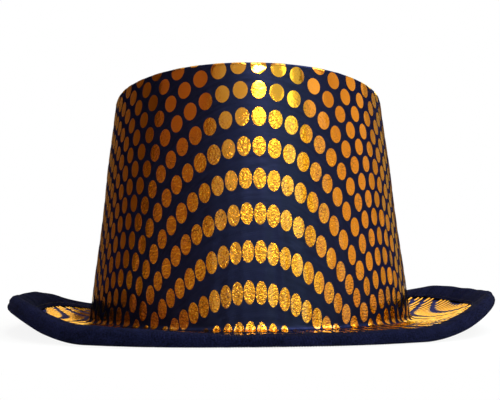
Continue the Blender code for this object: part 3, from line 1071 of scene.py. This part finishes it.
def fold_lining(radius, angle, height):
    """Soft folds, all inwards, that fade towards both sewn edges."""
    share = (height - BRIM_TOP) / WALL_LENGTH
    ends = smooth_step(0.0, 0.3, share) * (1.0 - smooth_step(0.75, 1.0, share))
    waves = 0.5 + 0.5 * np.sin(38 * angle + 0.8 * np.sin(5 * angle) + 2.0 * share)
    return radius - FOLD_DEPTH * ends * waves, angle, height


side_section = wall_section(
    SIDE_LINING_BOTTOM, SIDE_LINING_TOP, LINING_DEPTH, LINING_DEPTH + LINING_THICKNESS, steps=30)
side_lining = turn_outline("side_lining_satin", side_section, steps=304)
block_turned(side_lining, round_length=0.53, shape=fold_lining)
finish_piece(side_lining, lining_satin("side_satin", (12.0, 1.0, 1.0)), "lining_satin", "side_lining")


# Sweatband
# Black grosgrain ribbon sewn in round the head opening, over the facing and the side lining.
# Its ribs stand upright, and its ends lap at the back.

BAND_OUT_DEPTH = 0.0032
BAND_IN_DEPTH = 0.0041
BAND_BOTTOM = -0.0040
BAND_TOP = 0.0280
BAND_RIBS = 440
BAND_RIB_DEPTH = 0.00018
LAP_DEPTH = 0.00035
LAP_SPAN = (math.radians(6.0), math.radians(6.6))


def rib_band(radius, angle, height):
    """Upright ribs on the inner face, and the double thickness of the lap at the back."""
    depth = (WALL_FOOT[0] - radius) * WALL_OUT[0] + (WALL_FOOT[1] - height) * WALL_OUT[1]
    inside = smooth_step(BAND_OUT_DEPTH + 0.0004, BAND_IN_DEPTH, depth)
    ribs = -BAND_RIB_DEPTH * (0.5 - 0.5 * np.cos(BAND_RIBS * angle))
    lap = LAP_DEPTH * (1.0 - smooth_step(*LAP_SPAN, math.pi - np.abs(angle)))
    deeper = inside * (ribs + lap)
    return radius - deeper * WALL_OUT[0], angle, height - deeper * WALL_OUT[1]


band_section = wall_section(BAND_BOTTOM, BAND_TOP, BAND_OUT_DEPTH, BAND_IN_DEPTH, steps=8)
sweatband = turn_outline("sweatband_ribbon", band_section, steps=BAND_RIBS * RIB_STEPS)
block_turned(sweatband, round_length=0.57, shape=rib_band)
band_ribbon = ribbed_cloth("band_ribbon", (0.006, 0.006, 0.009), (0.015, 0.015, 0.022), {
    "Roughness": 0.7, "Specular IOR Level": 0.3, "Sheen Weight": 0.08})
finish_piece(sweatband, band_ribbon, "sweatband_ribbon", "sweatband", sharp=60.0)


# Sweatband stitches
# A row of lockstitch in the same navy thread as the binding's.
# It runs near the lower edge of the sweatband and holds it to the crown.

SWEATBAND_STITCHES = 180
STITCH_ALONG = -0.0010
STITCH_DEPTH = 0.0042
STITCH_PLACE = WALL_FOOT + WALL_UP * STITCH_ALONG - WALL_OUT * STITCH_DEPTH

sweatband_stitches = row_of_stitches("sweatband_stitches", SWEATBAND_STITCHES)
lay_stitches_round(sweatband_stitches, SWEATBAND_STITCHES, *STITCH_PLACE, up=-WALL_OUT)
finish_piece(sweatband_stitches, navy_thread, "thread", "sweatband_stitch")


# Floor, lights and camera
# A plain white table, soft lamps and tinted cards for the foil to mirror.
# The camera stands at about the height of the brim, as in the photograph.

WHITE = (1.0, 1.0, 1.0, 1.0)
ROOM_LIGHT = 0.38
FLOOR_HEIGHT = -0.0004
SHADOW_SPAN = (0.12, 0.25)
WHITE_AT_HAT = 0.89


def seen_directly(tree):
    """1 for what the camera, a mirror or glass sees, and 0 for light that falls on the hat."""
    path = add_node(tree, "ShaderNodeLightPath", {})
    seen = calculate(tree, "MAXIMUM", path.outputs["Is Camera Ray"], path.outputs["Is Glossy Ray"])
    return calculate(tree, "MAXIMUM", seen, path.outputs["Is Transmission Ray"])


def make_floor():
    deselect_all()
    bpy.ops.mesh.primitive_plane_add(size=8.0, location=(0.0, 0.0, FLOOR_HEIGHT))
    floor = name_added("floor")
    bpy.ops.object.transform_apply()
    finish, tree, shader = new_finish("white_table", {
        "Base Color": (0.92, 0.92, 0.92, 1.0), "Roughness": 0.8, "Specular IOR Level": 0.0})
    white = add_node(tree, "ShaderNodeEmission", {"Color": WHITE, "Strength": 1.0})
    away = add_node(tree, "ShaderNodeVectorMath", {0: object_place(tree)}, operation="LENGTH")
    clear = span(tree, away.outputs["Value"], *SHADOW_SPAN, WHITE_AT_HAT, 1.0)
    share = calculate(tree, "MULTIPLY", seen_directly(tree), clear)
    mixed = add_node(tree, "ShaderNodeMixShader", {0: share, 1: shader.outputs[0], 2: white.outputs[0]})
    tree.links.new(mixed.outputs[0], tree.nodes["Material Output"].inputs["Surface"])
    floor.data.materials.append(finish)


def light_world():
    world = bpy.data.worlds.new("white_room")
    bpy.context.scene.world = world
    world.use_nodes = True
    tree = world.node_tree
    background = tree.nodes["Background"]
    background.inputs["Color"].default_value = WHITE
    strength = span(tree, seen_directly(tree), 0.0, 1.0, ROOM_LIGHT, 1.0)
    tree.links.new(strength, background.inputs["Strength"])


LAMP_AIM = Vector((0.0, 0.0, 0.07))


def add_lamp(name, azimuth, elevation, distance, size, power, tint=WHITE[:3]):
    """Soft lamp seen from the hat at an angle round from the front to +X and an angle up."""
    turn, climb = math.radians(azimuth), math.radians(elevation)
    way = Vector((math.sin(turn) * math.cos(climb), -math.cos(turn) * math.cos(climb), math.sin(climb)))
    bpy.ops.object.light_add(type="AREA", location=LAMP_AIM + way * distance)
    lamp = bpy.context.object
    lamp.name = name
    lamp.rotation_euler = way.to_track_quat("Z", "Y").to_euler()
    lamp.data.shape = "RECTANGLE"
    lamp.data.size, lamp.data.size_y = size
    lamp.data.energy = power
    lamp.data.color = tint
    lamp.visible_camera = False


def add_card(name, azimuth, distance, size, colour):
    """Upright card outside the picture, which shades and tints one side of what the foil mirrors."""
    turn = math.radians(azimuth)
    deselect_all()
    place = (distance * math.sin(turn), -distance * math.cos(turn), size[1] / 2)
    bpy.ops.mesh.primitive_plane_add(size=1.0, location=place, rotation=(math.pi / 2, 0.0, turn))
    card = name_added(name)
    card.scale = (*size, 1.0)
    bpy.ops.object.transform_apply()
    sockets = {"Base Color": (*colour, 1.0), "Roughness": 0.9, "Specular IOR Level": 0.0}
    card.data.materials.append(new_finish(name, sockets)[0])
    card.visible_camera = False


make_floor()
light_world()
RUST_CARD = (0.34, 0.185, 0.15)
BROWN_CARD = (0.29, 0.16, 0.095)
TAN_CARD = (0.50, 0.44, 0.40)
DARK_CARD = (0.17, 0.095, 0.06)
GREY_CARD = (0.20, 0.20, 0.20)
PALE_CARD = (0.66, 0.72, 0.78)
CREAM_CARD = (0.86, 0.67, 0.42)
add_card("front_card", -57.0, 0.9, (1.1, 1.4), RUST_CARD)
add_card("tan_card", -34.5, 0.85, (0.09, 1.4), TAN_CARD)
add_card("pale_card", -17.0, 0.86, (0.46, 1.4), PALE_CARD)
add_card("side_card", -130.0, 0.95, (1.9, 1.4), DARK_CARD)
add_card("window_card", 18.0, 1.4, (1.5, 1.6), GREY_CARD)
add_card("right_card", 112.0, 1.3, (2.6, 1.6), CREAM_CARD)
add_card("back_card", 172.0, 1.5, (1.7, 1.6), BROWN_CARD)
COOL_LIGHT = (0.70, 1.0, 0.80)
YELLOW_LIGHT = (0.80, 1.0, 0.50)
PALE_YELLOW_LIGHT = (1.0, 1.0, 0.60)
WARM_LIGHT = (1.0, 0.80, 0.56)
BLUE_LIGHT = (0.75, 0.85, 1.0)
add_lamp("window_lamp", 20.0, 22.0, 1.2, (0.95, 0.80), 3.1, COOL_LIGHT)
add_lamp("strip_lamp", 31.0, 18.0, 1.0, (0.14, 0.60), 0.9, YELLOW_LIGHT)
add_lamp("spot_lamp", 7.0, 26.4, 1.0, (0.22, 0.070), 2.0)
add_lamp("over_lamp", 3.0, 68.0, 1.1, (0.22, 0.80), 4.6)
add_lamp("right_lamp", 88.0, 22.0, 1.2, (1.60, 1.20), 3.2, WARM_LIGHT)
add_lamp("brim_lamp", 75.0, 58.0, 0.8, (0.40, 0.40), 5.0, BLUE_LIGHT)
add_lamp("back_lamp", 166.0, 31.0, 1.2, (0.86, 0.70), 4.2, PALE_YELLOW_LIGHT)


# Camera: a phone-like view from about 0.6 m, at the height of the brim, tilted up a little
CAMERA_DISTANCE = 0.6065
CAMERA_TURN = math.radians(3.5)
CAMERA_HEIGHT = 0.0414
CAMERA_TILT = 0.0498
CAMERA_ROLL = 0.0075
FOCAL_PIXELS = 1051.3
IMAGE_WIDTH = 500
SENSOR_WIDTH = 36.0
OFFSET_PIXELS = 1.4


def add_camera():
    back = Vector((-math.sin(CAMERA_TURN), -math.cos(CAMERA_TURN), 0.0))
    forward = -back * math.cos(CAMERA_TILT) + Vector((0.0, 0.0, math.sin(CAMERA_TILT)))
    right = Vector((math.cos(CAMERA_TURN), -math.sin(CAMERA_TURN), 0.0))
    up = right.cross(forward)
    tilted_right = (right - up * CAMERA_ROLL).normalized()
    tilted_up = tilted_right.cross(forward)
    place = back * CAMERA_DISTANCE + Vector((0.0, 0.0, CAMERA_HEIGHT))
    bpy.ops.object.camera_add()
    camera = bpy.context.object
    turn = Matrix((tilted_right, tilted_up, -forward)).transposed().to_4x4()
    camera.matrix_world = Matrix.Translation(place) @ turn
    camera.data.sensor_fit = "HORIZONTAL"
    camera.data.sensor_width = SENSOR_WIDTH
    camera.data.lens = FOCAL_PIXELS * SENSOR_WIDTH / IMAGE_WIDTH
    camera.data.shift_x = OFFSET_PIXELS / IMAGE_WIDTH
    camera.data.clip_start = 0.01
    bpy.context.scene.camera = camera


add_camera()
bpy.context.scene.view_settings.view_transform = "Standard"
